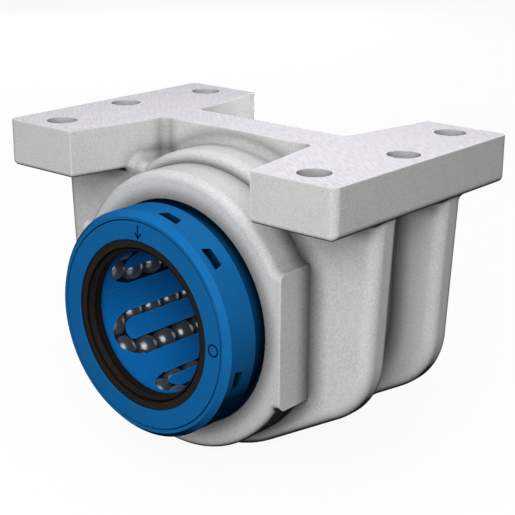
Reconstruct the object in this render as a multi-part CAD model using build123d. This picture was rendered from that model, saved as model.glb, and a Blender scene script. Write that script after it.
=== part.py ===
from build123d import *
import math
import os

os.makedirs("parts", exist_ok=True)

# Linear bearing block, millimetres. Origin: centre of the mounting face,
# +Z out of that face, Y along the shaft, X across. The bearing's sizes follow
# from the shaft outwards, and the housing's follow from the bearing.

# Balls and their circuits
shaft_r = 15.0
shaft_fit = 0.02            # radial room round the shaft
slip = 0.04                 # room between bearing pieces
ball_r = 2.75
ball_room = 0.2             # least room between two balls in a lane
bend_room = 0.16            # and round a bend
circuits = 6
load_angle = -17.0          # degrees, first loaded lane
lane_step = 27.0            # degrees, from return lane to loaded lane
lane_rise = 0.43            # return lane lies this much further out
lane_inset = 11.5           # end of the straight lanes to the bearing's end
lane_run_out = 0.4          # straight slots run on into the bends
bend_lift = 5.0             # degrees, clears the shaft at the return bends
load_slot_play = 0.35       # slot radius over ball radius
return_slot_play = 0.1
bend_slot_play = 0.2

# Bearing shell
bearing_half = 34.0
cage_skin = 0.55            # cage outside the return lanes
sleeve_wall = 1.86
sleeve_bevel = 1.1
joint_edge = 0.15           # broken edges where sleeve and end ring meet
neck_wall = 0.61            # sleeve left under the neck at each end
neck_inset = 7.95           # bearing's end to the neck
neck_land = 1.2             # between neck and raceway plates
window_angles = (76.5, 46.0, -16.7, 256.5, 226.0, 163.3)
window_inset = 2.5          # bearing's end to the window
window_w = 2.3
window_outer_arc = 5.2      # window length on its side nearer the end
window_inner_arc = 3.8
window_corner = 0.4
lug_room = 0.1
lug_sink = 1.2              # lug below the outside of the sleeve

# Raceway plates
plate_w = 5.6
plate_inset = 2.0           # plate ends short of the straight lanes
plate_wrap = 0.62           # plate rises this much beside the balls
plate_cover = 1.05          # sleeve wall over a plate

# End rings, seals and cage
end_ring_depth = 4.0
seal_height = 2.6           # shaft surface to the end ring's bore
seal_sink = 0.35            # seal below the end ring's face
seal_depth = 3.1
seal_rim = 1.45             # width of the front annulus
seal_groove_w = 0.5
seal_groove_depth = 1.4
lip_start = 0.3             # lip below the seal's face
lip_lead = 0.9              # sloped entry of the lip
lip_land = 0.5
lip_relief = 0.7
lip_slope = 0.3
cage_room = 0.5             # cage bore over the shaft
end_gap = 0.05

load_r = shaft_r + shaft_fit + ball_r
return_r = load_r + lane_rise
lane_half = bearing_half - lane_inset
load_slot_r = ball_r + load_slot_play
return_slot_r = ball_r + return_slot_play
bend_slot_r = ball_r + bend_slot_play
sleeve_inner_r = return_r + return_slot_r + cage_skin + slip
bearing_r = sleeve_inner_r + sleeve_wall
plate_half = lane_half - plate_inset
plate_inner = load_r + ball_r - plate_wrap
plate_outer = bearing_r - plate_cover
neck_r = sleeve_inner_r + neck_wall
neck_out = bearing_half - neck_inset
neck_in = plate_half + neck_land
ring_back = bearing_half - end_ring_depth
end_ring_inner_r = shaft_r + seal_height
seal_face = bearing_half - seal_sink
seal_back = seal_face - seal_depth
cage_bore_r = shaft_r + cage_room
cage_half = ring_back - end_gap
nose_half = seal_back - end_gap

# Housing, feet
foot_width = 88.0
foot_length = 58.0
foot_lap = 1.25             # feet reach below the valley beside the drum
foot_gap_web = 40.6         # between the two feet at the web
foot_flare = 4.2            # each foot's inner side, from web to end
web_thick = 10.66
foot_corner = 1.6
foot_edge = 1.0
bolt_side = 9.75            # outer holes to the foot's long edge
bolt_end = 6.5              # outer holes to the foot's end
side_bolt_side = 5.8        # middle holes to the foot's long edge
bolt_hole_d = 6.6

# Housing, body round the bearing
drum_wall = 8.5             # over the bearing
crown_cover = 3.0           # drum's crown below the mounting face
waist_step = 0.2            # drum surface between the ribs lies lower
pocket_end = 38.0           # degrees below level where the side pocket ends
rib_outer = 14.5            # half the length over the ribs
rib_thick = 7.1
rib_inset = 0.8             # rib inside the foot's long edge
rib_draft = 3.0             # degrees
rib_flank = 30.0            # degrees from level
rib_corner = 15.5
rib_edge = 2.5
cast_blend = 1.8            # inside corners of the crown pockets
shelf_inset = 2.0           # valley between drum and gusset, inside the foot
shelf_slope = 17.0          # degrees
hub_wall = 5.9              # over the bearing
hub_half = 23.5
hub_edge = 1.7
flat_blend = 1.5            # hub circle into the side flats
flat_cut = 1.9              # machined side flats, cut into the hub
flat_half_height = 14.2
seat_chamfer = 0.3

drum_r = bearing_r + drum_wall
axis_drop = drum_r + crown_cover    # mounting face to shaft axis
waist_r = drum_r - waist_step
hub_r = bearing_r + hub_wall
flat_half_width = hub_r - flat_cut
shelf_x = foot_gap_web / 2 - shelf_inset
valley_height = math.sqrt(drum_r ** 2 - shelf_x ** 2)   # above the shaft axis
foot_thick = axis_drop - valley_height + foot_lap
rib_inner = rib_outer - rib_thick
rib_half_width = foot_width / 2 - rib_inset     # at the feet
bolt_x = foot_width - 2 * bolt_side
bolt_y = foot_length - 2 * bolt_end
side_bolt_x = foot_width - 2 * side_bolt_side


def on_axis(shape):
    return Pos(0, 0, -axis_drop) * shape


def along_y(sketch, half):
    face = Plane.XZ * sketch
    return extrude(face, amount=half, both=True)


def tube(outer, inner, y0, y1):
    body = Cylinder(outer, y1 - y0) - Cylinder(inner, y1 - y0)
    return Pos(0, (y0 + y1) / 2, 0) * Rot(90, 0, 0) * body


def feet():
    """Two plates; their bottom edges are rounded but for the long outer one."""
    half_gap_web = foot_gap_web / 2
    half_gap_end = half_gap_web + foot_flare
    half_l = foot_length / 2
    half_web = web_thick / 2
    right = Polyline(
        (foot_width / 2, -half_l),
        (foot_width / 2, half_l),
        (half_gap_end, half_l),
        (half_gap_web, half_web),
        (half_gap_web, -half_web),
        (half_gap_end, -half_l),
        close=True,
    )
    side = foot_width / 2 - foot_corner
    foot = Pos(0, 0, -foot_thick) * extrude(make_face(right), amount=foot_thick)
    bottom = foot.faces().sort_by(Axis.Z)[0]
    foot = fillet(bottom.edges().filter_by(lambda e: e.center().X < side), foot_edge)
    uprights = foot.edges().filter_by(Axis.Z).filter_by(lambda e: e.center().X > side)
    foot = fillet(uprights, foot_corner)
    return foot + mirror(foot, Plane.YZ)


def shelf_height(x):
    return valley_height + math.tan(math.radians(shelf_slope)) * (x - shelf_x)


def top_outline(x_end):
    """Drum crown with the gusset shelf on each side, right to left."""
    valley = (shelf_x, shelf_height(shelf_x))
    left = (-shelf_x, shelf_height(shelf_x))
    return [
        Line((x_end, shelf_height(x_end)), valley),
        ThreePointArc(valley, (0, drum_r), left),
        Line(left, (-x_end, shelf_height(x_end))),
    ]


def wall_profile():
    """Cross section of the body: crown, gussets, sides, flanks and belly."""
    a = math.radians(rib_flank)
    draft = math.tan(math.radians(rib_draft))
    top = shelf_height(waist_r)
    x_top = rib_half_width + draft * (top - axis_drop + foot_thick)
    touch = Vector(drum_r * math.sin(a), -drum_r * math.cos(a))
    # where the flank line meets the drafted side
    run = (x_top - draft * (top - touch.Y) - touch.X) / (math.cos(a) - draft * math.sin(a))
    corner = touch + Vector(math.cos(a), math.sin(a)) * run
    left = (-touch.X, touch.Y)
    sides = Polyline(touch, corner, (x_top, top), (waist_r, top))
    mirrored = Polyline((-waist_r, top), (-x_top, top), (-corner.X, corner.Y), left)
    bottom = ThreePointArc(left, (0, -drum_r), touch)
    outline = make_face([sides, mirrored, bottom] + top_outline(waist_r))
    corners = outline.vertices().filter_by(lambda v: abs(v.Y - corner.Y) < 0.01)
    return fillet(corners, rib_corner)


def side_pocket():
    """Space between the two ribs on the right side."""
    a = math.radians(pocket_end)
    turn = (waist_r * math.cos(a), -waist_r * math.sin(a))
    mid = (waist_r * math.cos(a / 2), -waist_r * math.sin(a / 2))
    far = 2 * drum_r
    edges = [
        Polyline(turn, (far * math.cos(a), -far * math.sin(a)), (far, axis_drop),
                 (waist_r, axis_drop), (waist_r, 0)),
        ThreePointArc((waist_r, 0), mid, turn),
    ]
    return along_y(make_face(edges), rib_inner)


def walls():
    body = along_y(wall_profile(), rib_outer)
    rims = body.edges().filter_by(lambda e: abs(abs(e.center().Y) - rib_outer) < 0.01)
    body = fillet(rims, rib_edge)
    pocket = side_pocket()
    body -= pocket
    body -= mirror(pocket, Plane.YZ)
    return on_axis(fillet(body.edges().filter_by(on_pocket_lip), lip_radius()))


def lip_radius():
    """Rib edge along a pocket, limited by the wall left where the pocket ends."""
    a = math.radians(90 - rib_flank - pocket_end)
    return min(rib_edge, 0.9 * (drum_r / math.cos(a) - waist_r))


def on_pocket_lip(edge):
    """True on the outer edges of a side pocket, not on its floor, end or top."""
    c = edge.center()
    below = math.degrees(math.atan2(-c.Z, abs(c.X)))
    beside = abs(abs(c.Y) - rib_inner) < 0.01
    out = abs(c.X) if c.Z > 0 else math.hypot(c.X, c.Z)
    reached = below < pocket_end - 0.1 and c.Z < shelf_height(waist_r) - 0.1
    return beside and reached and out > waist_r + 0.1


def hub(end):
    """Round boss at one end, with its machined side flats."""
    outline = Circle(hub_r) + Rectangle(2 * hub_r + 4, 2 * flat_half_height)
    inner = outline.vertices().filter_by(lambda v: abs(v.X) < hub_r)
    outline = fillet(inner, flat_blend)
    body = along_y(outline, hub_half)
    rims = body.edges().filter_by(lambda e: abs(abs(e.center().Y) - hub_half) < 0.01)
    body = fillet(rims, hub_edge)
    root = rib_outer - rib_edge
    keep = Box(2 * flat_half_width, hub_half - root, 4 * hub_r)
    body &= Pos(0, end * (hub_half + root) / 2, 0) * keep
    return on_axis(body)


def cast_corners(body):
    """Inside corners of the crown pockets: web, drum, shelves and feet."""
    half_web = web_thick / 2

    def on_web(e):
        flush = abs(abs(e.center().Y) - half_web) < 0.02 and abs(abs((e @ 0).Y) - half_web) < 0.02
        return flush and -axis_drop / 2 < e.center().Z < -foot_edge

    def on_shelf(e):
        c = e.center()
        beside = foot_gap_web / 2 < abs(c.X) < foot_gap_web / 2 + foot_flare - foot_corner
        between = -foot_thick + foot_edge / 2 < c.Z < -foot_edge
        return beside and between and abs(c.Y) > half_web + 0.1

    return body.edges().filter_by(lambda e: on_web(e) or on_shelf(e))


def housing():
    web = Pos(0, 0, -axis_drop / 2) * Box(foot_gap_web + 4, web_thick, axis_drop)
    body = feet() + web + walls() + hub(-1) + hub(1)
    body = fillet(cast_corners(body), min(cast_blend, 0.9 * shelf_inset))
    body -= seat_cutter()
    drill = Cylinder(bolt_hole_d / 2, 4 * foot_thick)
    for x, y in bolt_places():
        body -= Pos(x, y, 0) * drill
    return body


def seat_cutter():
    """Through bore for the bearing, opened out a little at both mouths."""
    wide = bearing_r + seat_chamfer + 1
    end = hub_half + 1
    profile = Polyline(
        (0, -end), (wide, -end), (bearing_r, -hub_half + seat_chamfer),
        (bearing_r, hub_half - seat_chamfer), (wide, end), (0, end),
        close=True,
    )
    return on_axis(revolve(make_face(profile), Axis.Y))


def bolt_places():
    outer = [(i * bolt_x / 2, j * bolt_y / 2) for i in (-1, 1) for j in (-1, 1)]
    return outer + [(-side_bolt_x / 2, 0), (side_bolt_x / 2, 0)]


def at_angle(shape, angle):
    """Turn a shape built at +X to a place round the shaft axis."""
    return Rot(0, -angle, 0) * shape


def sleeve():
    """Outer shell: a neck at each end, snap windows and plate pockets."""
    body = tube(bearing_r, sleeve_inner_r, -bearing_half, bearing_half)
    rims = body.edges().filter_by(
        lambda e: e.geom_type == GeomType.CIRCLE and abs(e.radius - bearing_r) < 0.01)
    body = chamfer(rims, sleeve_bevel)
    mouths = body.edges().filter_by(
        lambda e: e.geom_type == GeomType.CIRCLE and abs(e.radius - sleeve_inner_r) < 0.01)
    body = chamfer(mouths, joint_edge)
    for end in (-1, 1):
        y0, y1 = sorted((end * neck_out, end * neck_in))
        body -= tube(bearing_r + 1, neck_r, y0, y1)
        for angle in window_angles:
            body -= at_angle(window_cutter(end), angle)
    for angle in load_angles():
        body -= at_angle(plate_block(slip), angle)
    return on_axis(body)


def tapered_block(end, outer, inner, outer_arc, inner_arc, reach):
    """Block at +X from the end ring out to radius reach, shorter on its inner side."""
    start = end_ring_inner_r + 1
    outline = make_face(Polyline(
        (end * outer, -outer_arc / 2), (end * outer, outer_arc / 2),
        (end * inner, inner_arc / 2), (end * inner, -inner_arc / 2),
        close=True,
    ))
    outline = fillet(outline.vertices(), window_corner)
    base = Plane(origin=(start, 0, 0), x_dir=(0, 1, 0), z_dir=(1, 0, 0))
    return extrude(base * outline, amount=reach - start)


def window_cutter(end):
    outer = bearing_half - window_inset
    return tapered_block(
        end, outer, outer - window_w, window_outer_arc, window_inner_arc, bearing_r + 1)


def lug(end):
    """Snap lug of the end ring, in the window's outer part."""
    outer = bearing_half - window_inset - lug_room
    return tapered_block(
        end, outer, ring_back, window_outer_arc - 2 * lug_room,
        window_inner_arc, bearing_r - lug_sink)


def load_angles():
    return [load_angle + i * 360 / circuits for i in range(circuits)]


def plate_block(room):
    deep = plate_outer - plate_inner + room
    block = Box(deep, 2 * (plate_half + room), plate_w + 2 * room)
    return Pos(plate_inner + deep / 2, 0, 0) * block


def raceway_plate(index):
    """Hardened strip with a ground track for the loaded balls."""
    plate = plate_block(0)
    track = Pos(load_r, 0, 0) * Rot(90, 0, 0) * Cylinder(ball_r + shaft_fit, 3 * plate_half)
    plate -= track
    return on_axis(at_angle(plate, load_angles()[index]))


def end_ring(end):
    """Ring that carries the seal and snaps into the sleeve windows."""
    y0, y1 = sorted((end * bearing_half, end * ring_back))
    ring = tube(sleeve_inner_r - slip, end_ring_inner_r, y0, y1)
    face = ring.faces().filter_by(
        lambda f: abs(f.center().Y - end * bearing_half) < 0.01)
    ring = chamfer(face.edges(), joint_edge)
    for angle in window_angles:
        ring += at_angle(lug(end), angle)
    return on_axis(ring)


def seal(end):
    """Ring with a front annulus, a groove behind it and two lips on the shaft."""
    lip = shaft_r + shaft_fit
    relief = lip + lip_relief
    outer = end_ring_inner_r - slip
    rim = outer - seal_rim
    floor = seal_face - seal_groove_depth
    tip = seal_face - lip_start - lip_lead
    second = tip - lip_land - 2 * lip_slope
    profile = Polyline(
        (outer, seal_face),
        (rim, seal_face),
        (rim, floor),
        (rim - seal_groove_w, floor),
        (rim - seal_groove_w, seal_face - lip_start),
        (lip, tip),
        (lip, tip - lip_land),
        (relief, tip - lip_land - lip_slope),
        (lip, second),
        (lip, seal_back),
        (outer, seal_back),
        close=True,
    )
    ring = revolve(make_face(profile), Axis.Y)
    if end < 0:
        ring = mirror(ring, Plane.XZ)
    return on_axis(ring)


def lane_point(angle, radius, y):
    a = math.radians(angle)
    return Vector(radius * math.cos(a), y, radius * math.sin(a))


def bend_plane(end):
    """Plane of a return bend: X to the loaded lane, Y out along the bend."""
    load = lane_point(0, load_r, end * lane_half)
    back = lane_point(-lane_step, return_r, end * lane_half)
    middle = (load + back) / 2
    across = (load - back).normalized()
    outward = across.cross(Vector(0, 1, 0)).normalized()
    if outward.dot(Vector(middle.X, 0, middle.Z)) < 0:
        outward = -outward
    lift = math.radians(bend_lift)
    ahead = Vector(0, end, 0) * math.cos(lift) + outward * math.sin(lift)
    return Plane(origin=middle, x_dir=across, z_dir=across.cross(ahead))


def bend_r():
    load = lane_point(0, load_r, 0)
    return (load - lane_point(-lane_step, return_r, 0)).length / 2


def turn_point(t, end):
    """Point on a return bend; t runs 0 to 1 from the loaded lane."""
    a = math.pi * t
    return bend_plane(end).from_local_coords(
        Vector(bend_r() * math.cos(a), bend_r() * math.sin(a), 0))


def bend_cutter(end):
    ring = Pos(bend_r(), 0, 0) * Rot(90, 0, 0) * Circle(bend_slot_r)
    return bend_plane(end) * revolve(ring, Axis.Z, revolution_arc=180)


def track_cutters():
    """Space swept by the balls of the circuit whose loaded lane is at 0."""
    run = 2 * (lane_half + lane_run_out)
    load = Pos(load_r, 0, 0) * Rot(90, 0, 0) * Cylinder(load_slot_r, run)
    back = Pos(return_r, 0, 0) * Rot(90, 0, 0) * Cylinder(return_slot_r, run)
    return [load, at_angle(back, -lane_step), bend_cutter(-1), bend_cutter(1)]


def cage():
    """Ball retainer: six closed tracks, open to the shaft along the balls."""
    body = tube(sleeve_inner_r - slip, cage_bore_r, -cage_half, cage_half)
    body += tube(end_ring_inner_r - slip, cage_bore_r, -nose_half, nose_half)
    for angle in load_angles():
        for cutter in track_cutters() + [plate_block(slip)]:
            body -= at_angle(cutter, angle)
    return on_axis(body)


def bend_balls():
    """Shares of the way round a bend where its two balls lie."""
    half = math.asin((ball_r + bend_room / 2) / bend_r()) / math.pi
    return (0.5 - half, 0.5 + half)


def lane_places():
    """Where along the shaft the balls of a straight lane lie."""
    a = math.pi * bend_balls()[0]
    beside = bend_r() * (1 - math.cos(a))
    ahead = bend_r() * math.sin(a)
    last = math.sqrt((2 * ball_r + bend_room) ** 2 - beside ** 2) - ahead
    run = 2 * (lane_half - last)
    count = int(run / (2 * ball_r + ball_room)) + 1
    return [-run / 2 + i * run / (count - 1) for i in range(count)]


def ball_centres():
    """Loaded lane, return lane and a pair in each bend."""
    ys = lane_places()
    centres = [lane_point(0, load_r, y) for y in ys]
    centres += [lane_point(-lane_step, return_r, y) for y in ys]
    for end in (-1, 1):
        centres += [turn_point(t, end) for t in bend_balls()]
    return centres


def ball_circuit(index):
    """All balls of one circuit, as separate solids."""
    balls = [Pos(*c) * Sphere(ball_r) for c in ball_centres()]
    turned = [on_axis(at_angle(b, load_angles()[index])) for b in balls]
    return Compound(children=turned)


def save(name, shape):
    export_step(shape, "parts/" + name + ".step")


def main():
    save("housing", housing())
    save("bearing_sleeve", sleeve())
    save("ball_cage", cage())
    for name, end in (("front", -1), ("rear", 1)):
        save(name + "_end_ring", end_ring(end))
        save(name + "_seal", seal(end))
    for i in range(circuits):
        save("raceway_plate_%d" % (i + 1), raceway_plate(i))
        save("ball_circuit_%d" % (i + 1), ball_circuit(i))


if __name__ == "__main__":
    main()
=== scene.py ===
import math

import bmesh
import bpy
from mathutils import Matrix, Vector


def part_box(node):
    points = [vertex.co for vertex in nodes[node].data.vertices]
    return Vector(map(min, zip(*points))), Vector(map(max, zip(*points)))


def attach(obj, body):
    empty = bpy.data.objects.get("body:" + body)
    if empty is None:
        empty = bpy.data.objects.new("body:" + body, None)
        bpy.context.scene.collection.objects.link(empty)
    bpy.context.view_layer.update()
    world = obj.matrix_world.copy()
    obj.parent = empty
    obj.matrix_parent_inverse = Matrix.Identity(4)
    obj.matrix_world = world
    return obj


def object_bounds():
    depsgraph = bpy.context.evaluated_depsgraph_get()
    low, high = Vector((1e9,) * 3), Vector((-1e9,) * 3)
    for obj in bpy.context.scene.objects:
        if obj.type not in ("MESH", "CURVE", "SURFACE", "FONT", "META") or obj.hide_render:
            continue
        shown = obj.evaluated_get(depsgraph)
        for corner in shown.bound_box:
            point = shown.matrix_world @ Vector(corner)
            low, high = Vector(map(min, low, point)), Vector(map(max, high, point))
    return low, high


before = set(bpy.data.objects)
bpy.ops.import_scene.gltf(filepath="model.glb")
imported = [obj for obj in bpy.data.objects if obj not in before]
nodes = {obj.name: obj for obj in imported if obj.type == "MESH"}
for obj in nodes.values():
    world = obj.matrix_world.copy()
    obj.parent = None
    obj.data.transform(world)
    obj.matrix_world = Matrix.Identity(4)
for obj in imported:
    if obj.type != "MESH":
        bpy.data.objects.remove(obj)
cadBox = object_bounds()
middle = (cadBox[0] + cadBox[1]) / 2
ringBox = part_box("front_end_ring")
shaftHeight = (ringBox[0].z + ringBox[1].z) / 2
mm = 0.001
print("frame loaded:", len(nodes), "nodes")


# Small tools


def addNode(tree, kind, **settings):
    node = tree.nodes.new(kind)
    for name, value in settings.items():
        setattr(node, name, value)
    return node


def feed(tree, socket, value):
    if isinstance(value, bpy.types.NodeSocket):
        tree.links.new(value, socket)
    else:
        socket.default_value = value


def maths(tree, operation, *values):
    node = addNode(tree, "ShaderNodeMath", operation=operation)
    for socket, value in zip(node.inputs, values):
        feed(tree, socket, value)
    return node.outputs["Value"]


def remap(tree, value, fromLow, fromHigh, toLow=0.0, toHigh=1.0):
    node = addNode(tree, "ShaderNodeMapRange", clamp=True)
    for name, given in (
        ("Value", value),
        ("From Min", fromLow),
        ("From Max", fromHigh),
        ("To Min", toLow),
        ("To Max", toHigh),
    ):
        feed(tree, node.inputs[name], given)
    return node.outputs["Result"]


def blendColours(tree, share, first, second):
    node = addNode(tree, "ShaderNodeMix", data_type="RGBA")
    feed(tree, node.inputs["Factor"], share)
    feed(tree, node.inputs["A"], first)
    feed(tree, node.inputs["B"], second)
    return node.outputs["Result"]


# Shared shader groups, with the noise or shade that counts as low and as high

patternLook = {
    "grain": (0.28, 0.72),
    "lines": (0.3, 0.7),
    "openGround": (0.85, 0.98),
    "bevelSamples": 6,
    "creaseSamples": 12,
}


def startGroup(name, inputs, outputs):
    group = bpy.data.node_groups.new(name, "ShaderNodeTree")
    for label, value in inputs.items():
        kind = "NodeSocketVector" if value is None else "NodeSocketFloat"
        socket = group.interface.new_socket(label, in_out="INPUT", socket_type=kind)
        if value is not None:
            socket.default_value = value
    for label in outputs:
        group.interface.new_socket(
            label, in_out="OUTPUT", socket_type="NodeSocketFloat"
        )
    taken = group.nodes.new("NodeGroupInput").outputs
    given = group.nodes.new("NodeGroupOutput").inputs
    return group, taken, given


def useGroup(tree, group, **values):
    node = addNode(tree, "ShaderNodeGroup", node_tree=group)
    for label, value in values.items():
        feed(tree, node.inputs[label], value)
    return node.outputs


def makeGrain():
    # Blasted or moulded skin: Size is the width of one speck in metres
    group, taken, given = startGroup(
        "surfaceGrain", {"Position": None, "Size": 0.3 * mm, "Detail": 2.0}, ["Value"]
    )
    noise = addNode(group, "ShaderNodeTexNoise")
    feed(group, noise.inputs["Vector"], taken["Position"])
    feed(group, noise.inputs["Scale"], maths(group, "DIVIDE", 1.0, taken["Size"]))
    feed(group, noise.inputs["Detail"], taken["Detail"])
    value = remap(group, noise.outputs["Fac"], *patternLook["grain"])
    feed(group, given["Value"], value)
    return group


def makeEdgeLight():
    # 1 where the surface turns sharply within Radius, 0 on flat ground; it drives a
    # painted edge highlight
    group, taken, given = startGroup(
        "edgeHighlight", {"Radius": 0.6 * mm, "Gain": 3.0}, ["Edge"]
    )
    bevel = addNode(group, "ShaderNodeBevel", samples=patternLook["bevelSamples"])
    feed(group, bevel.inputs["Radius"], taken["Radius"])
    shape = addNode(group, "ShaderNodeNewGeometry")
    turn = addNode(group, "ShaderNodeVectorMath", operation="DOT_PRODUCT")
    feed(group, turn.inputs[0], bevel.outputs["Normal"])
    feed(group, turn.inputs[1], shape.outputs["Normal"])
    lost = maths(group, "SUBTRACT", 1.0, turn.outputs["Value"])
    node = addNode(group, "ShaderNodeMath", operation="MULTIPLY", use_clamp=True)
    feed(group, node.inputs[0], lost)
    feed(group, node.inputs[1], taken["Gain"])
    feed(group, given["Edge"], node.outputs["Value"])
    return group


def makeCreases():
    # Shade is 1 on open ground and falls in creases narrower than Distance, a painted
    # shade;
    # Highlight keeps of Edge, the turn of the surface, what lies outside a crease, for a
    # painted edge highlight
    group, taken, given = startGroup(
        "creases", {"Distance": 5 * mm, "Power": 2.0, "Edge": 0.0}, ["Shade", "Highlight"]
    )
    samples = patternLook["creaseSamples"]
    near = addNode(group, "ShaderNodeAmbientOcclusion", samples=samples)
    feed(group, near.inputs["Distance"], taken["Distance"])
    clear = near.outputs["AO"]
    outside = remap(group, clear, *patternLook["openGround"])
    feed(group, given["Highlight"], maths(group, "MULTIPLY", taken["Edge"], outside))
    feed(group, given["Shade"], maths(group, "POWER", clear, taken["Power"]))
    return group


def makeMilled():
    # 1 on the milled face, which lies at height Level and looks up
    group, taken, given = startGroup(
        "milledFace", {"Position": None, "Level": 0.0, "Skin": 0.04 * mm}, ["Mask"]
    )
    split = addNode(group, "ShaderNodeSeparateXYZ")
    feed(group, split.inputs["Vector"], taken["Position"])
    depth = maths(group, "SUBTRACT", taken["Level"], split.outputs["Z"])
    feed(group, given["Mask"], maths(group, "LESS_THAN", depth, taken["Skin"]))
    return group


def makeStreaks():
    # Short parallel scratches in the XY plane, Turn degrees from X
    group, taken, given = startGroup(
        "toolStreaks",
        {"Position": None, "Turn": 0.0, "Length": 4 * mm, "Width": 0.3 * mm},
        ["Value"],
    )
    spin = addNode(group, "ShaderNodeVectorRotate", rotation_type="Z_AXIS")
    feed(group, spin.inputs["Vector"], taken["Position"])
    feed(group, spin.inputs["Angle"], maths(group, "RADIANS", taken["Turn"]))
    pitch = addNode(group, "ShaderNodeCombineXYZ")
    feed(group, pitch.inputs["X"], maths(group, "DIVIDE", 1.0, taken["Length"]))
    feed(group, pitch.inputs["Y"], maths(group, "DIVIDE", 1.0, taken["Width"]))
    stretch = addNode(group, "ShaderNodeVectorMath", operation="MULTIPLY")
    feed(group, stretch.inputs[0], spin.outputs["Vector"])
    feed(group, stretch.inputs[1], pitch.outputs["Vector"])
    noise = addNode(group, "ShaderNodeTexNoise")
    feed(group, noise.inputs["Vector"], stretch.outputs["Vector"])
    feed(group, noise.inputs["Scale"], 1.0)
    feed(group, noise.inputs["Detail"], 1.0)
    value = remap(group, noise.outputs["Fac"], *patternLook["lines"])
    feed(group, given["Value"], value)
    return group


def makeDrawLines():
    # Faint lines along the shaft, Count of them round an axis at height Level
    group, taken, given = startGroup(
        "drawLines", {"Position": None, "Level": 0.0, "Count": 60.0}, ["Value"]
    )
    split = addNode(group, "ShaderNodeSeparateXYZ")
    feed(group, split.inputs["Vector"], taken["Position"])
    rise = maths(group, "SUBTRACT", split.outputs["Z"], taken["Level"])
    angle = maths(group, "ARCTAN2", rise, split.outputs["X"])
    turns = maths(group, "DIVIDE", angle, math.tau)
    noise = addNode(group, "ShaderNodeTexNoise", noise_dimensions="1D")
    feed(group, noise.inputs["W"], maths(group, "MULTIPLY", turns, taken["Count"]))
    feed(group, noise.inputs["Scale"], 1.0)
    value = remap(group, noise.outputs["Fac"], *patternLook["lines"])
    feed(group, given["Value"], value)
    return group


grainGroup = makeGrain()
edgeGroup = makeEdgeLight()
creaseGroup = makeCreases()
milledGroup = makeMilled()
streakGroup = makeStreaks()
lineGroup = makeDrawLines()
print("shader groups made")


# Materials


def startMaterial(name):
    material = bpy.data.materials.new(name)
    material.use_nodes = True
    tree = material.node_tree
    tree.nodes.clear()
    surface = addNode(tree, "ShaderNodeBsdfPrincipled")
    output = addNode(tree, "ShaderNodeOutputMaterial")
    tree.links.new(surface.outputs["BSDF"], output.inputs["Surface"])
    place = addNode(tree, "ShaderNodeTexCoord").outputs["Object"]
    return material, tree, surface, place


turnLook = {
    "blend": 0.5,
    "tiltBase": 1.12,
    "downward": (-0.4, -0.78),
    "darkest": 0.05,
    "shiny": (0.4, 0.7),
}


def readFacing(tree):
    weight = addNode(tree, "ShaderNodeLayerWeight")
    feed(tree, weight.inputs["Blend"], turnLook["blend"])
    return weight.outputs["Facing"]


def shadeTurning(tree, look):
    # First 1 facing the viewer or up, less by turnShare where the surface turns
    # away and by downShare where it also looks down; then the shine, none at edges.
    # This shade follows the camera, a fault
    facing = readFacing(tree)
    split = addNode(tree, "ShaderNodeSeparateXYZ")
    shape = addNode(tree, "ShaderNodeNewGeometry")
    feed(tree, split.inputs["Vector"], shape.outputs["Normal"])
    rise = split.outputs["Z"]
    away = maths(tree, "POWER", facing, look["turnPower"])
    tilt = maths(tree, "SUBTRACT", turnLook["tiltBase"], rise)
    lost = maths(tree, "MULTIPLY", away, tilt)
    lost = maths(tree, "MULTIPLY", lost, look["turnShare"])
    down = remap(tree, rise, *turnLook["downward"])
    under = maths(tree, "MULTIPLY", facing, down)
    under = maths(tree, "MULTIPLY", under, look["downShare"])
    dark = maths(tree, "ADD", lost, under)
    turned = remap(tree, dark, 0, 1, 1.0, turnLook["darkest"])
    matt = remap(tree, facing, *turnLook["shiny"], look["shine"], 0.0)
    return turned, maths(tree, "MULTIPLY", turned, matt)


def shadeSkin(tree, skin, look):
    # Painted highlight on the outer edges, then painted shade in creases and where the
    # surface turns away
    edge = useGroup(
        tree, edgeGroup, Radius=look["edgeRadius"], Gain=look["edgeGain"]
    )["Edge"]
    crease = useGroup(
        tree,
        creaseGroup,
        Distance=look["creaseDistance"],
        Power=look["creasePower"],
        Edge=edge,
    )
    wear = maths(tree, "MULTIPLY", crease["Highlight"], look["wear"])
    highlighted = blendColours(tree, wear, skin, look["edge"])
    turned, shine = shadeTurning(tree, look)
    lit = maths(tree, "MULTIPLY", crease["Shade"], turned)
    return blendColours(tree, lit, look["shadow"], highlighted), shine


def placeStreaks(tree, place, look):
    return useGroup(
        tree,
        streakGroup,
        Position=place,
        Turn=look["streakTurn"],
        Length=look["streakLength"],
        Width=look["streakWidth"],
    )["Value"]


def roughen(tree, surface, pattern, look):
    dull = look["roughness"] + look["roughnessSpread"]
    rough = remap(tree, pattern, 0, 1, look["roughness"], dull)
    feed(tree, surface.inputs["Roughness"], rough)


def addBump(tree, surface, height, depth):
    bump = addNode(tree, "ShaderNodeBump")
    bump.inputs["Distance"].default_value = depth
    feed(tree, bump.inputs["Height"], height)
    tree.links.new(bump.outputs["Normal"], surface.inputs["Normal"])


# edge is the colour of the painted edge highlight, shadow the colour of painted shade
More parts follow.
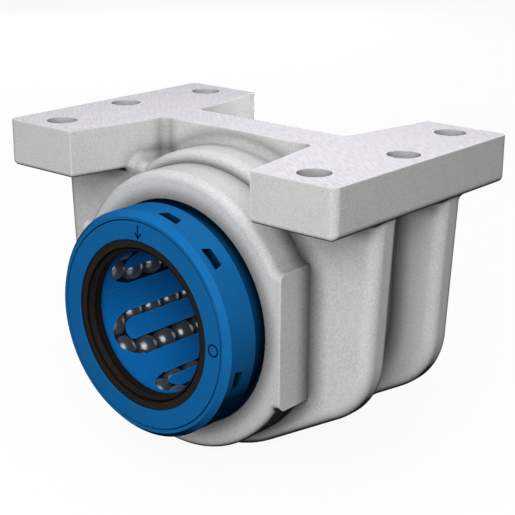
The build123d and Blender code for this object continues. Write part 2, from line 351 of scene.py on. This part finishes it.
castLook = {
    "colour": (0.585, 0.585, 0.58, 1),
    "darkSpeck": (0.43, 0.43, 0.43, 1),
    "milled": (0.70, 0.685, 0.72, 1),
    "milledDark": (0.56, 0.545, 0.58, 1),
    "edge": (0.86, 0.86, 0.85, 1),
    "shadow": (0.012, 0.012, 0.012, 1),
    "metallic": 0.0,
    "shine": 0.06,
    "roughness": 0.45,
    "milledRoughness": 0.42,
    "creaseDistance": 4.5 * mm,
    "creasePower": 2.1,
    "wear": 0.5,
    "turnShare": 0.95,
    "turnPower": 2.6,
    "downShare": 0.9,
    "speck": 0.35 * mm,
    "cloudSize": 9 * mm,
    "cloudShare": 0.25,
    "bumpDepth": 0.04 * mm,
    "streakTurn": 35,
    "streakLength": 3.2 * mm,
    "streakWidth": 0.35 * mm,
    "edgeRadius": 0.7 * mm,
    "edgeGain": 5.0,
}


def castAluminium(look):
    material, tree, surface, place = startMaterial("castAluminium")
    grain = useGroup(tree, grainGroup, Position=place, Size=look["speck"])["Value"]
    cloud = useGroup(tree, grainGroup, Position=place, Size=look["cloudSize"])["Value"]
    streaks = placeStreaks(tree, place, look)
    milled = useGroup(tree, milledGroup, Position=place, Level=cadBox[1].z)["Mask"]
    skin = blendColours(tree, grain, look["darkSpeck"], look["colour"])
    pale = maths(tree, "MULTIPLY", cloud, look["cloudShare"])
    skin = blendColours(tree, pale, skin, look["colour"])
    flat = blendColours(tree, streaks, look["milledDark"], look["milled"])
    both = blendColours(tree, milled, skin, flat)
    shaded, shine = shadeSkin(tree, both, look)
    feed(tree, surface.inputs["Base Color"], shaded)
    feed(tree, surface.inputs["Metallic"], look["metallic"])
    feed(tree, surface.inputs["Specular IOR Level"], shine)
    rough = remap(tree, milled, 0, 1, look["roughness"], look["milledRoughness"])
    feed(tree, surface.inputs["Roughness"], rough)
    height = blendColours(tree, milled, grain, streaks)
    addBump(tree, surface, height, look["bumpDepth"])
    return material


# edge is the colour of the painted edge highlight, shadow the colour of painted shade;
# shade is a darker tone for the mottle
shellLook = {
    "colour": (0.0075, 0.128, 0.36, 1),
    "shade": (0.006, 0.11, 0.31, 1),
    "edge": (0.02, 0.20, 0.50, 1),
    "shadow": (0.0005, 0.008, 0.02, 1),
    "roughness": 0.45,
    "roughnessSpread": 0.05,
    "shine": 0.02,
    "creaseDistance": 2.5 * mm,
    "creasePower": 2.8,
    "turnShare": 1.25,
    "turnPower": 1.8,
    "downShare": 0.7,
    "wear": 0.5,
    "speck": 0.5 * mm,
    "cloudSize": 7 * mm,
    "cloudShare": 0.5,
    "bumpDepth": 0.008 * mm,
    "edgeRadius": 0.25 * mm,
    "edgeGain": 3.0,
}

# The cage's blue is lighter than the shell's, partly its own tone and partly painted light
# for the dim bore; edge is a painted highlight colour and shadow a painted shade colour
cageLook = {
    "colour": (0.006, 0.165, 0.49, 1),
    "shade": (0.005, 0.135, 0.42, 1),
    "edge": (0.02, 0.26, 0.70, 1),
    "shadow": (0.0005, 0.012, 0.03, 1),
    "roughness": 0.36,
    "roughnessSpread": 0.05,
    "shine": 0.1,
    "creaseDistance": 3 * mm,
    "creasePower": 1.0,
    "turnShare": 0.4,
    "turnPower": 3.0,
    "downShare": 0.3,
    "wear": 0.5,
    "speck": 0.5 * mm,
    "cloudSize": 7 * mm,
    "cloudShare": 0.5,
    "bumpDepth": 0.006 * mm,
    "edgeRadius": 0.25 * mm,
    "edgeGain": 3.0,
    "lineCount": 150,
    "lineDepth": 0.03 * mm,
}


def bluePlastic(name, look):
    material, tree, surface, place = startMaterial(name)
    grain = useGroup(tree, grainGroup, Position=place, Size=look["speck"])["Value"]
    cloud = useGroup(tree, grainGroup, Position=place, Size=look["cloudSize"])["Value"]
    mottle = maths(tree, "MULTIPLY", cloud, look["cloudShare"])
    mottle = maths(tree, "MULTIPLY_ADD", grain, 1 - look["cloudShare"], mottle)
    skin = blendColours(tree, mottle, look["shade"], look["colour"])
    shaded, shine = shadeSkin(tree, skin, look)
    feed(tree, surface.inputs["Base Color"], shaded)
    feed(tree, surface.inputs["Specular IOR Level"], shine)
    dull = look["roughness"] + look["roughnessSpread"]
    rough = remap(tree, mottle, 0, 1, dull, look["roughness"])
    feed(tree, surface.inputs["Roughness"], rough)
    height, depth = grain, look["bumpDepth"]
    if "lineCount" in look:
        lines = useGroup(
            tree,
            lineGroup,
            Position=place,
            Level=shaftHeight,
            Count=look["lineCount"],
        )["Value"]
        height, depth = lines, look["lineDepth"]
    addBump(tree, surface, height, depth)
    return material


sealLook = {
    "colour": (0.007, 0.0055, 0.0045, 1),
    "dust": (0.018, 0.014, 0.011, 1),
    "roughness": 0.55,
    "shine": 0.05,
    "speck": 0.3 * mm,
    "dustPower": 2.0,
    "dustShare": 0.6,
    "bumpDepth": 0.02 * mm,
}


def sealRubber(look):
    material, tree, surface, place = startMaterial("sealRubber")
    grain = useGroup(tree, grainGroup, Position=place, Size=look["speck"])["Value"]
    dust = maths(tree, "POWER", grain, look["dustPower"])
    dust = maths(tree, "MULTIPLY", dust, look["dustShare"])
    skin = blendColours(tree, dust, look["colour"], look["dust"])
    feed(tree, surface.inputs["Base Color"], skin)
    feed(tree, surface.inputs["Specular IOR Level"], look["shine"])
    feed(tree, surface.inputs["Roughness"], look["roughness"])
    addBump(tree, surface, grain, look["bumpDepth"])
    return material


ballLook = {
    "colour": (0.11, 0.12, 0.135, 1),
    "rim": (0.55, 0.58, 0.62, 1),
    "rimPower": 2.5,
    "metallic": 0.65,
    "roughness": 0.2,
    "roughnessSpread": 0.06,
    "hazeSize": 1.2 * mm,
}


def polishedSteel(look):
    material, tree, surface, place = startMaterial("ballSteel")
    haze = useGroup(tree, grainGroup, Position=place, Size=look["hazeSize"])["Value"]
    # The rim colour follows the camera too
    # Painted highlight: the ball's colour turns lighter towards its rim
    rim = maths(tree, "POWER", readFacing(tree), look["rimPower"])
    shaded = blendColours(tree, rim, look["colour"], look["rim"])
    feed(tree, surface.inputs["Base Color"], shaded)
    feed(tree, surface.inputs["Metallic"], look["metallic"])
    roughen(tree, surface, haze, look)
    return material


racewayLook = {
    "colour": (0.42, 0.42, 0.43, 1),
    "metallic": 1.0,
    "roughness": 0.34,
    "roughnessSpread": 0.1,
    "streakTurn": 90,
    "streakLength": 6 * mm,
    "streakWidth": 0.1 * mm,
    "bumpDepth": 0.005 * mm,
}


def groundSteel(look):
    material, tree, surface, place = startMaterial("racewaySteel")
    streaks = placeStreaks(tree, place, look)
    feed(tree, surface.inputs["Base Color"], look["colour"])
    feed(tree, surface.inputs["Metallic"], look["metallic"])
    roughen(tree, surface, streaks, look)
    addBump(tree, surface, streaks, look["bumpDepth"])
    return material


markLook = {
    "colour": (0.001, 0.012, 0.045, 1),
    "roughness": 0.6,
    "roughnessSpread": 0.1,
    "shine": 0.0,
    "speck": 0.4 * mm,
}


def markShade(look):
    material, tree, surface, place = startMaterial("markShade")
    grain = useGroup(tree, grainGroup, Position=place, Size=look["speck"])["Value"]
    feed(tree, surface.inputs["Base Color"], look["colour"])
    roughen(tree, surface, grain, look)
    feed(tree, surface.inputs["Specular IOR Level"], look["shine"])
    return material


slotMaterials = {
    "cast_aluminium": castAluminium(castLook),
    "shell_plastic": bluePlastic("shellPlastic", shellLook),
    "cage_plastic": bluePlastic("cagePlastic", cageLook),
    "seal_rubber": sealRubber(sealLook),
    "raceway_steel": groundSteel(racewayLook),
    "ball_steel": polishedSteel(ballLook),
}
markMaterial = markShade(markLook)


def dressNodes():
    for node in nodes.values():
        for place in node.material_slots:
            slotName = place.material.name.split(".")[0]
            place.material = slotMaterials[slotName]


dressNodes()
print("materials assigned")


# Marks on the front end ring

arrowLook = {
    "top": 20.9 * mm,
    "tip": 18.2 * mm,
    "barbUp": 1.15 * mm,
    "barbOut": 0.85 * mm,
    "stroke": 0.36 * mm,
    "thick": 0.02 * mm,
}

circleLook = {
    "out": 19.7 * mm,
    "radius": 1.15 * mm,
    "stroke": 0.36 * mm,
    "thick": 0.02 * mm,
    "steps": 48,
}

ringFace = ringBox[0].y


def onRing(x, z, out):
    # x and z are counted from the shaft's centre, and out from the ring's face
    return Vector((x, ringFace - out, shaftHeight + z))


def stroke(mesh, start, end, width, thick):
    along = (Vector(end) - Vector(start)).normalized()
    side = Vector((-along.y, along.x)) * width / 2
    corners = []
    for point, way in ((start, -1), (end, -1), (end, 1), (start, 1)):
        corners.append(Vector(point) + way * side)
    low = [mesh.verts.new(onRing(p.x, p.y, -thick / 2)) for p in corners]
    high = [mesh.verts.new(onRing(p.x, p.y, thick / 2)) for p in corners]
    mesh.faces.new(low)
    mesh.faces.new(high)
    for i in range(4):
        j = (i + 1) % 4
        mesh.faces.new((low[i], low[j], high[j], high[i]))


def finishMark(name, mesh):
    bmesh.ops.recalc_face_normals(mesh, faces=mesh.faces)
    data = bpy.data.meshes.new(name)
    mesh.to_mesh(data)
    mesh.free()
    data.materials.append(markMaterial)
    mark = bpy.data.objects.new(name, data)
    bpy.context.collection.objects.link(mark)
    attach(mark, "root")


def makeArrow(look):
    mesh = bmesh.new()
    tip = (0, look["tip"])
    barb = look["tip"] + look["barbUp"]
    width, thick = look["stroke"], look["thick"]
    stroke(mesh, (0, look["top"]), tip, width, thick)
    stroke(mesh, (-look["barbOut"], barb), tip, width, thick)
    stroke(mesh, (look["barbOut"], barb), tip, width, thick)
    finishMark("arrowMark", mesh)


def makeCircle(look):
    mesh = bmesh.new()
    rings = []
    half = look["stroke"] / 2
    for radius, out in (
        (look["radius"] - half, -1),
        (look["radius"] + half, -1),
        (look["radius"] + half, 1),
        (look["radius"] - half, 1),
    ):
        ring = []
        for step in range(look["steps"]):
            angle = math.tau * step / look["steps"]
            x = look["out"] + radius * math.cos(angle)
            z = radius * math.sin(angle)
            ring.append(mesh.verts.new(onRing(x, z, out * look["thick"] / 2)))
        rings.append(ring)
    for a in range(4):
        first, second = rings[a], rings[(a + 1) % 4]
        for i in range(look["steps"]):
            j = (i + 1) % look["steps"]
            mesh.faces.new((first[i], first[j], second[j], second[i]))
    finishMark("circleMark", mesh)


makeArrow(arrowLook)
makeCircle(circleLook)
print("marks made")


# Floor, world and lights

studioLook = {
    "floorSize": 8.0,
    "floorGrey": (0.16, 0.16, 0.16, 1),
    "floorPaper": (0.9, 0.9, 0.9, 1),
    "floorWhite": 0.93,
    "worldLight": 0.03,
    "clearance": 0.2 * mm,
    "lampDistance": 0.7,
    "lampSize": 0.5,
}


def seenDirectly(tree):
    rays = addNode(tree, "ShaderNodeLightPath").outputs
    seen = maths(tree, "MAXIMUM", rays["Is Camera Ray"], rays["Is Glossy Ray"])
    return maths(tree, "MAXIMUM", seen, rays["Is Transmission Ray"])


def makeFloor(look):
    material = bpy.data.materials.new("studioFloor")
    material.use_nodes = True
    tree = material.node_tree
    tree.nodes.clear()
    seen = seenDirectly(tree)
    shade = blendColours(tree, seen, look["floorGrey"], look["floorPaper"])
    paper = addNode(tree, "ShaderNodeBsdfDiffuse")
    feed(tree, paper.inputs["Color"], shade)
    white = addNode(tree, "ShaderNodeEmission")
    feed(tree, white.inputs["Strength"], 1.0)
    mixed = addNode(tree, "ShaderNodeMixShader")
    share = maths(tree, "MULTIPLY", seen, look["floorWhite"])
    feed(tree, mixed.inputs["Fac"], share)
    tree.links.new(paper.outputs["BSDF"], mixed.inputs[1])
    tree.links.new(white.outputs["Emission"], mixed.inputs[2])
    output = addNode(tree, "ShaderNodeOutputMaterial")
    tree.links.new(mixed.outputs["Shader"], output.inputs["Surface"])
    mesh = bmesh.new()
    bmesh.ops.create_grid(mesh, x_segments=1, y_segments=1, size=look["floorSize"] / 2)
    level = cadBox[0].z - look["clearance"]
    bmesh.ops.translate(mesh, verts=mesh.verts, vec=(middle.x, middle.y, level))
    data = bpy.data.meshes.new("floor")
    mesh.to_mesh(data)
    mesh.free()
    data.materials.append(material)
    floor = bpy.data.objects.new("floor", data)
    bpy.context.collection.objects.link(floor)


def makeWorld(look):
    world = bpy.data.worlds.new("studio")
    bpy.context.scene.world = world
    world.use_nodes = True
    tree = world.node_tree
    tree.nodes.clear()
    back = addNode(tree, "ShaderNodeBackground")
    feed(tree, back.inputs["Color"], (1, 1, 1, 1))
    strength = remap(tree, seenDirectly(tree), 0, 1, look["worldLight"], 1.0)
    feed(tree, back.inputs["Strength"], strength)
    output = addNode(tree, "ShaderNodeOutputWorld")
    tree.links.new(back.outputs["Background"], output.inputs["Surface"])


lampLooks = {
    "frontLamp": {"azimuth": 34, "elevation": 20, "watts": 3.4},
    "highLamp": {"azimuth": 38, "elevation": 45, "watts": 1.9},
    "crossLamp": {"azimuth": -10, "elevation": 25, "watts": 1.35},
    "sideLamp": {"azimuth": 112, "elevation": 22, "watts": 0.5},
    "leftLamp": {"azimuth": -60, "elevation": 35, "watts": 0.3},
    "topLamp": {"azimuth": 30, "elevation": 80, "watts": 0.25},
    "backLamp": {"azimuth": 175, "elevation": 45, "watts": 0.4},
    "rearLamp": {"azimuth": 232, "elevation": 22, "watts": 2.0},
}

hangLook = {
    "place": (0.022, -0.006, 0.09),
    "size": 0.08,
    "watts": 0.05,
}

valleyLook = {
    "place": (0.012, 0.028, -0.004),
    "target": (-0.022, 0.026, -0.004),
    "size": 0.012,
    "spread": 90,
    "watts": 0.003,
}


def addLamp(name, size, watts):
    data = bpy.data.lights.new(name, "AREA")
    data.shape = "SQUARE"
    data.size = size
    data.energy = watts
    lamp = bpy.data.objects.new(name, data)
    lamp.visible_camera = False
    bpy.context.collection.objects.link(lamp)
    return lamp


def makeLamp(name, look, studio):
    # Azimuth is counted from the front, -Y, towards +X
    lamp = addLamp(name, studio["lampSize"], look["watts"])
    turn, rise = math.radians(look["azimuth"]), math.radians(look["elevation"])
    away = Vector(
        (
            math.sin(turn) * math.cos(rise),
            -math.cos(turn) * math.cos(rise),
            math.sin(rise),
        )
    )
    lamp.location = middle + away * studio["lampDistance"]
    lamp.rotation_euler = (-away).to_track_quat("-Z", "Y").to_euler()


def makeHangLamp(look):
    lamp = addLamp("hangLamp", look["size"], look["watts"])
    lamp.location = look["place"]


def makeValleyLamp(look):
    # Lights the rear inner side of the left foot
    lamp = addLamp("valleyLamp", look["size"], look["watts"])
    lamp.data.spread = math.radians(look["spread"])
    lamp.location = look["place"]
    ahead = Vector(look["target"]) - Vector(look["place"])
    lamp.rotation_euler = ahead.to_track_quat("-Z", "Y").to_euler()


makeFloor(studioLook)
makeWorld(studioLook)
for lampName, lampLook in lampLooks.items():
    makeLamp(lampName, lampLook, studioLook)
makeHangLamp(hangLook)
makeValleyLamp(valleyLook)
print("floor, world and lamps made")


# Camera

cameraLook = {
    "place": (0.17185902, -0.19869499, 0.05663634),
    "right": (0.75606061, 0.65449121, 0.00368837),
    "up": (-0.2067024, 0.23342565, 0.95015082),
    "lens": 89.152,
    "shift": (0.00878, 0.00538),
    "sensor": 36,
    "near": 0.01,
    "far": 20,
}


def makeCamera(look):
    data = bpy.data.cameras.new("photoCamera")
    data.sensor_width = look["sensor"]
    data.lens = look["lens"]
    data.shift_x, data.shift_y = look["shift"]
    data.clip_start = look["near"]
    data.clip_end = look["far"]
    camera = bpy.data.objects.new("photoCamera", data)
    bpy.context.collection.objects.link(camera)
    right, up = Vector(look["right"]), Vector(look["up"])
    turn = Matrix((right, up, right.cross(up))).transposed()
    camera.matrix_world = Matrix.Translation(look["place"]) @ turn.to_4x4()
    bpy.context.scene.camera = camera


makeCamera(cameraLook)
bpy.context.scene.view_settings.view_transform = "Standard"

print("camera made")
